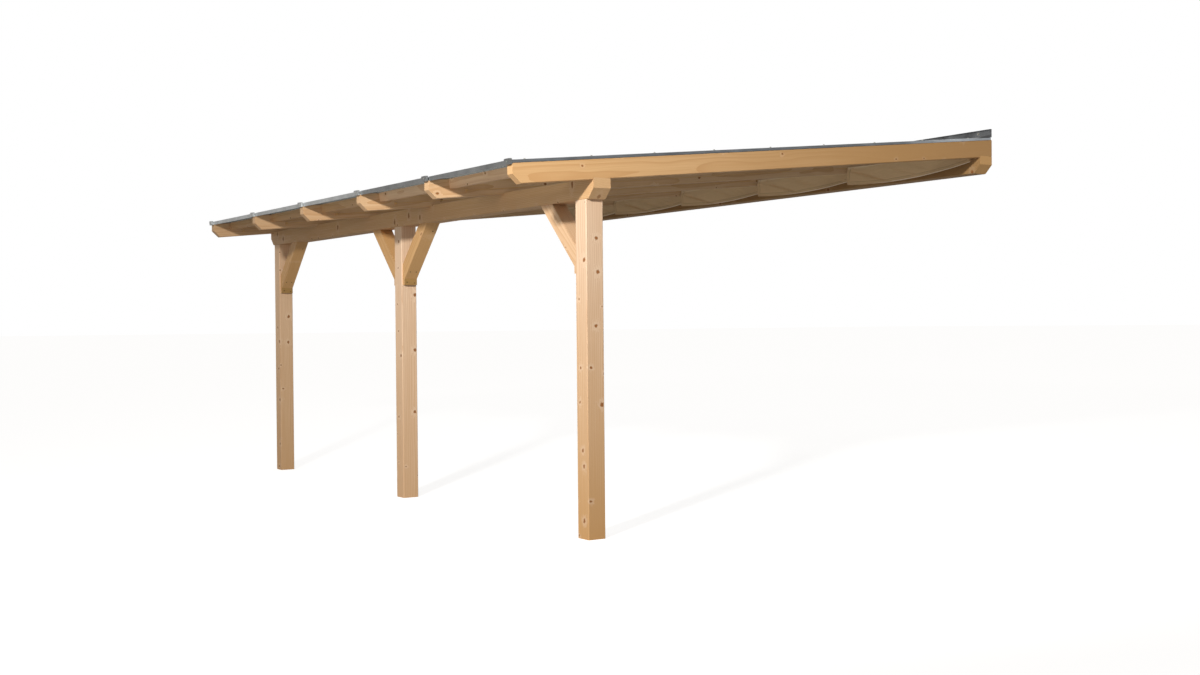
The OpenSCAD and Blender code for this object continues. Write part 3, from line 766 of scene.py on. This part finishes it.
class PATIO_OT_sails(bpy.types.Operator):
    """Hangs one gathered sun sail of continuous cloth between the rods of each bay"""

    bl_idname = "patio.sails"
    bl_label = "Sun sails"

    def execute(self, context):
        sizes = context.scene.patio_sizes
        draws = np.random.default_rng(SEED)
        low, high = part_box("sun_sail_1")
        cloth = woven_sailcloth(high.x - low.x)
        head = rod_head()
        flap = FLAP_STEPS + FLAP_TOP_STEPS
        across = np.linspace(0, 1, WIDTH_STEPS + 1)
        for k, node in enumerate(family("sun_sail")):
            low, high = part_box(node)
            waves = draws.uniform(0, 2 * math.pi, (sizes.sail_folds + 1, 3))
            slips = draws.uniform(-0.05, 0.05, 3)
            creases = [
                (start + slip, end + slip, *rest) for slip, (start, end, *rest) in zip(slips, CREASES)
            ]
            sections = [sail_section(sizes, head, u, waves, creases) for u in across]
            runs = [run_along(section) for section in sections]
            rows = len(sections[0])
            wide = high.x - low.x
            points, cut, fold = [], [], []
            for i, (section, run) in enumerate(zip(sections, runs)):
                u = i / WIDTH_STEPS
                edge = head + X * (low.x + wide * u)
                points += [tuple(edge + DOWN_ROOF * t + OFF_ROOF * h) for t, h in section]
                cut += [(wide * u, r) for r in run]
                fold += [(u, max(1 - j / flap, 0)) for j in range(rows)]
            faces = [
                (i * rows + j, i * rows + j + 1, (i + 1) * rows + j + 1, (i + 1) * rows + j)
                for i in range(WIDTH_STEPS)
                for j in range(rows - 1)
            ]
            mesh = bpy.data.meshes.new(f"sun_sail_cloth_{k + 1}")
            mesh.from_pydata(points, [], faces)
            for title, places in (("cut", cut), ("fold", fold)):
                layer = mesh.uv_layers.new(name=title)
                for loop in mesh.loops:
                    layer.data[loop.index].uv = places[loop.vertex_index]
            mesh.polygons.foreach_set("use_smooth", [True] * len(mesh.polygons))
            mesh.materials.append(cloth)
            sail = linked(f"sun_sail_cloth_{k + 1}", mesh)
            thick = sail.modifiers.new("thickness", "SOLIDIFY")
            thick.thickness = sizes.cloth_thick
            thick.offset = 0
            settle(sail)
            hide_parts(node)
        return {"FINISHED"}


def fastener_tree():
    """Geometry Nodes that set a headed fastener with a washer on every point, along its facing."""
    tree = bpy.data.node_groups.new("fasteners", "GeometryNodeTree")
    tree.is_modifier = True
    sockets = {
        "Geometry": "NodeSocketGeometry",
        "Sides": "NodeSocketInt",
        "Head radius": "NodeSocketFloat",
        "Crown radius": "NodeSocketFloat",
        "Head height": "NodeSocketFloat",
        "Washer radius": "NodeSocketFloat",
        "Washer height": "NodeSocketFloat",
        "Finish": "NodeSocketMaterial",
    }
    for name, kind in sockets.items():
        tree.interface.new_socket(name, in_out="INPUT", socket_type=kind)
    tree.interface.new_socket("Geometry", in_out="OUTPUT", socket_type="NodeSocketGeometry")
    given = add(tree, "NodeGroupInput").outputs
    washer = add(
        tree,
        "GeometryNodeMeshCylinder",
        {"Vertices": 16, "Radius": given["Washer radius"], "Depth": given["Washer height"]},
    ).outputs[0]
    head = add(
        tree,
        "GeometryNodeMeshCone",
        {
            "Vertices": given["Sides"],
            "Radius Top": given["Crown radius"],
            "Radius Bottom": given["Head radius"],
            "Depth": given["Head height"],
        },
    ).outputs[0]
    shape = add(tree, "GeometryNodeJoinGeometry")
    tree.links.new(washer, shape.inputs[0])
    tree.links.new(head, shape.inputs[0])
    facing = add(
        tree, "GeometryNodeInputNamedAttribute", {"Name": "facing"}, data_type="FLOAT_VECTOR"
    ).outputs[0]
    turned = add(tree, "FunctionNodeAlignRotationToVector", {"Vector": facing}, axis="Z").outputs[0]
    spread = add(
        tree,
        "GeometryNodeInstanceOnPoints",
        {"Points": given["Geometry"], "Instance": shape.outputs[0], "Rotation": turned},
    ).outputs[0]
    solid = add(tree, "GeometryNodeRealizeInstances", {0: spread}).outputs[0]
    solid = add(
        tree, "GeometryNodeSetMaterial", {"Geometry": solid, "Material": given["Finish"]}
    ).outputs[0]
    add(tree, "NodeGroupOutput", {0: solid})
    return tree


def set_fasteners(name, tree, row, values):
    """Makes one piece of like fasteners from a row of places and facings and the tree's input values."""
    places, facings = row
    mesh = bpy.data.meshes.new(name)
    mesh.from_pydata([tuple(p) for p in places], [], [])
    mesh.attributes.new("facing", "FLOAT_VECTOR", "POINT")
    mesh.attributes["facing"].data.foreach_set("vector", [c for f in facings for c in f])
    made = linked(name, mesh)
    modifier = made.modifiers.new("fasteners", "NODES")
    modifier.node_group = tree
    for item in tree.interface.items_tree:
        if item.in_out == "INPUT" and item.name in values:
            modifier[item.identifier] = values[item.name]
    settle(made)


class PATIO_OT_fasteners(bpy.types.Operator):
    """Sets the screws that hold braces, bars, caps and flashing"""

    bl_idname = "patio.fasteners"
    bl_label = "Fasteners"

    def execute(self, context):
        sizes = context.scene.patio_sizes
        tree = fastener_tree()
        zinc = plated_steel("zinc_plated_steel", "zinc")
        head = sizes.screw_head / 2
        pan = {
            "Sides": 12,
            "Head radius": head,
            "Crown radius": 0.6 * head,
            "Head height": 1.6 * MM,
            "Washer radius": head,
            "Washer height": 0.6 * MM,
            "Finish": zinc,
        }
        sealed = {**pan, "Sides": 6, "Crown radius": head, "Head height": 6 * MM}
        sealed |= {"Washer radius": sizes.washer / 2, "Washer height": 3 * MM}
        # painted shade: the timber screws are painted dark, for the shade round a sunk screw
        yellow = {**pan, "Finish": plated_steel("yellow_chromated_steel", "chromate")}
        small = {**pan, "Head radius": 4 * MM, "Crown radius": 2.5 * MM, "Washer radius": 4 * MM}
        set_fasteners("brace_screws", tree, self.brace_screws(sizes), yellow)
        set_fasteners("bar_screws", tree, self.bar_screws(sizes), sealed)
        set_fasteners("cap_screws", tree, self.cap_screws(), small)
        set_fasteners("flashing_screws", tree, self.flashing_screws(sizes), sealed)
        return {"FINISHED"}

    def brace_screws(self, sizes):
        """Two screws in each brace's blunt foot, two above it and one near its upper end."""
        # below the foot's upper edge at the front and at the back, and how far off the brace's middle
        front_below, back_below, foot_off = 24 * MM, 30 * MM, 30 * MM
        # up the slanting face, and off its middle to the front and to the back
        face_up, face_front, face_back = 70 * MM, 26 * MM, 22 * MM
        # down from the upper end, and off the middle to the back
        end_down, end_back = 80 * MM, 20 * MM
        places, facings = [], []
        for name, side in BRACES.items():
            low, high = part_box(name)
            post = low.x if side > 0 else high.x
            y = (low.y + high.y) / 2
            foot = Vector((post + side * sizes.brace_nose, y, low.z + sizes.brace_foot))
            top = Vector((post + side * (high.x - low.x), y, high.z))
            slope = (X * side + Z).normalized()
            under = (X * side - Z).normalized()
            places += [foot - Z * front_below - Y * foot_off, foot - Z * back_below + Y * foot_off]
            facings += [X * side] * 2
            places += [foot + slope * face_up + Y * off for off in (-face_front, face_back)]
            places.append(top - slope * end_down + Y * end_back)
            facings += [under] * 3
        return places, facings

    def bar_screws(self, sizes):
        """A row of sealed screws down the middle of each glazing bar."""
        # from the bar's ends to the first and the last screw, and from its top to a washer's middle
        first, last, lift = 200 * MM, 100 * MM, 1 * MM
        places, facings = [], []
        for name in family("glazing_bar"):
            points = corners(name)
            top = max((p - ROOF_HEAD).dot(OFF_ROOF) for p in points)
            far = max((p - ROOF_HEAD).dot(DOWN_ROOF) for p in points)
            run = far - first - last
            count = int(run / sizes.screw_pitch)
            line = X * middle(name).x + ROOF_HEAD
            for k in range(count + 1):
                down = first + k * run / count
                places.append(line + DOWN_ROOF * down + OFF_ROOF * (top + lift))
                facings.append(OFF_ROOF)
        return places, facings

    def cap_screws(self):
        """One screw in the front of each end cap."""
        points = corners("bar_end_caps")
        front = max((p - ROOF_HEAD).dot(DOWN_ROOF) for p in points)
        heights = [(p - ROOF_HEAD).dot(OFF_ROOF) for p in points]
        mid = ROOF_HEAD + DOWN_ROOF * front + OFF_ROOF * (min(heights) + max(heights)) / 2
        names = family("rafter")
        return [mid + X * middle(n).x for n in names], [DOWN_ROOF] * len(names)

    def flashing_screws(self, sizes):
        """A row of sealed screws in the upright of the wall flashing."""
        # from the ends to the outer screws, the metal's thickness, and from the top down to the row
        inset, metal, below = 120 * MM, 3 * MM, 22 * MM
        low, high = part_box("wall_flashing")
        count = int((high.x - low.x) / sizes.screw_pitch)
        row = np.linspace(low.x + inset, high.x - inset, count + 1)
        return [Vector((x, high.y - metal, high.z - below)) for x in row], [-Y] * len(row)


def studio_floor():
    """Pale matt floor: white to the camera where it is lit, darker where the cover shades it."""
    # share of its colour that the floor reflects, and the glow that only the camera sees
    reflects, shine = 0.6, 0.8
    material, tree, tones = blank("pale_studio_floor")
    path = add(tree, "ShaderNodeLightPath").outputs
    matt = add(tree, "ShaderNodeBsdfDiffuse", {"Color": opaque(Vector(tones.floor) * reflects)})
    glow = add(tree, "ShaderNodeEmission", {"Color": (1, 1, 1, 1), "Strength": shine})
    lit = add(tree, "ShaderNodeAddShader", {0: matt.outputs[0], 1: glow.outputs[0]})
    both = add(
        tree, "ShaderNodeMixShader", {0: path["Is Camera Ray"], 1: matt.outputs[0], 2: lit.outputs[0]}
    )
    return finished(material, both)


class PATIO_OT_stage(bpy.types.Operator):
    """Sets the floor, the soft light and the camera"""

    bl_idname = "patio.stage"
    bl_label = "Stage"

    def execute(self, context):
        self.floor()
        self.light(context)
        self.camera(context)
        context.scene.view_settings.view_transform = "Standard"
        return {"FINISHED"}

    def floor(self):
        """A wide floor under the posts."""
        half = 300.0
        z = cad_low.z
        mesh = bpy.data.meshes.new("studio_floor")
        points = [(-half, -half, z), (half, -half, z), (half, half, z), (-half, half, z)]
        mesh.from_pydata(points, [], [(0, 1, 2, 3)])
        mesh.materials.append(studio_floor())
        made = linked("studio_floor", mesh)

    def light(self, context):
        """A round key lamp at the front right, a broad fill lamp in front and an even fill from all round."""
        self.lamp(
            "key_lamp", place=(6.8, -9.4, 1.8), aim=(1.0, -2.4, 0.4), size=0.5, spread=80, power=160
        )
        self.lamp(
            "fill_lamp", place=(4.0, -9.5, -1.0), aim=(1.0, -1.0, -0.5), size=4.0, spread=180, power=65
        )
        # strength of the even fill, and what it gains in a shiny surface
        even, gain = 0.35, 0.55
        world = bpy.data.worlds.new("studio")
        world.use_nodes = True
        tree = world.node_tree
        tree.nodes.clear()
        path = add(tree, "ShaderNodeLightPath").outputs
        glow = add(
            tree, "ShaderNodeMath", {0: path["Is Glossy Ray"], 1: gain, 2: even}, operation="MULTIPLY_ADD"
        ).outputs[0]
        fill = add(tree, "ShaderNodeBackground", {"Color": opaque(linear("FFFAF4")), "Strength": glow})
        white = add(tree, "ShaderNodeBackground", {"Color": (1, 1, 1, 1), "Strength": 1.0})
        both = add(
            tree,
            "ShaderNodeMixShader",
            {0: path["Is Camera Ray"], 1: fill.outputs[0], 2: white.outputs[0]},
        )
        add(tree, "ShaderNodeOutputWorld", {"Surface": both.outputs[0]})
        context.scene.world = world

    def lamp(self, name, place, aim, size, spread, power):
        """A round lamp at a place, aimed at a point, with its diameter, beam angle in degrees and power."""
        light = bpy.data.lights.new(name, "AREA")
        light.shape = "DISK"
        light.size = size
        light.spread = math.radians(spread)
        light.energy = power
        light.color = linear("FFFDFA")
        made = linked(name, light)
        made.location = place
        made.rotation_euler = (Vector(place) - Vector(aim)).to_track_quat("Z", "Y").to_euler()

    def camera(self, context):
        """The camera at the photograph's viewing angle, for a frame of 1200 by 675."""
        place = Vector((9.6681, -7.8634, -1.1175))
        yaw, pitch, roll = math.radians(32.943), math.radians(-0.516), math.radians(-0.503)
        focal_pixels, frame_pixels, sensor = 1413.8, 1200, 36.0
        ahead = Vector((-math.cos(yaw) * math.cos(pitch), math.sin(yaw) * math.cos(pitch), math.sin(pitch)))
        level = Vector((math.sin(yaw), math.cos(yaw), 0))
        rise = level.cross(ahead)
        right = level * math.cos(roll) + rise * math.sin(roll)
        up = rise * math.cos(roll) - level * math.sin(roll)
        lens = bpy.data.cameras.new("camera")
        lens.sensor_width = sensor
        lens.lens = focal_pixels / frame_pixels * sensor
        lens.clip_end = 1000
        made = linked("camera", lens)
        made.matrix_world = Matrix.Translation(place) @ Matrix((right, up, -ahead)).transposed().to_4x4()
        context.scene.camera = made


OPERATORS = (PATIO_OT_timber, PATIO_OT_roof, PATIO_OT_sails, PATIO_OT_fasteners, PATIO_OT_stage)


class PATIO_PT_panel(bpy.types.Panel):
    """Lists the sizes, the colours and the steps of the patio cover"""

    bl_idname = "PATIO_PT_panel"
    bl_label = "Patio cover"
    bl_space_type = "VIEW_3D"
    bl_region_type = "UI"
    bl_category = "Patio cover"

    def draw(self, context):
        for group in (context.scene.patio_sizes, context.scene.patio_colours):
            box = self.layout.box()
            for name in group.__annotations__:
                box.prop(group, name)
        for operator in OPERATORS:
            self.layout.operator(operator.bl_idname)


CLASSES = (PatioSizes, PatioColours, *OPERATORS, PATIO_PT_panel)


def register():
    for made in CLASSES:
        bpy.utils.register_class(made)
    bpy.types.Scene.patio_sizes = PointerProperty(type=PatioSizes)
    bpy.types.Scene.patio_colours = PointerProperty(type=PatioColours)


def unregister():
    del bpy.types.Scene.patio_colours
    del bpy.types.Scene.patio_sizes
    for made in reversed(CLASSES):
        bpy.utils.unregister_class(made)


def main():
    register()
    bpy.ops.patio.timber()
    bpy.ops.patio.roof()
    bpy.ops.patio.sails()
    bpy.ops.patio.fasteners()
    bpy.ops.patio.stage()


if __name__ == "__main__":
    main()
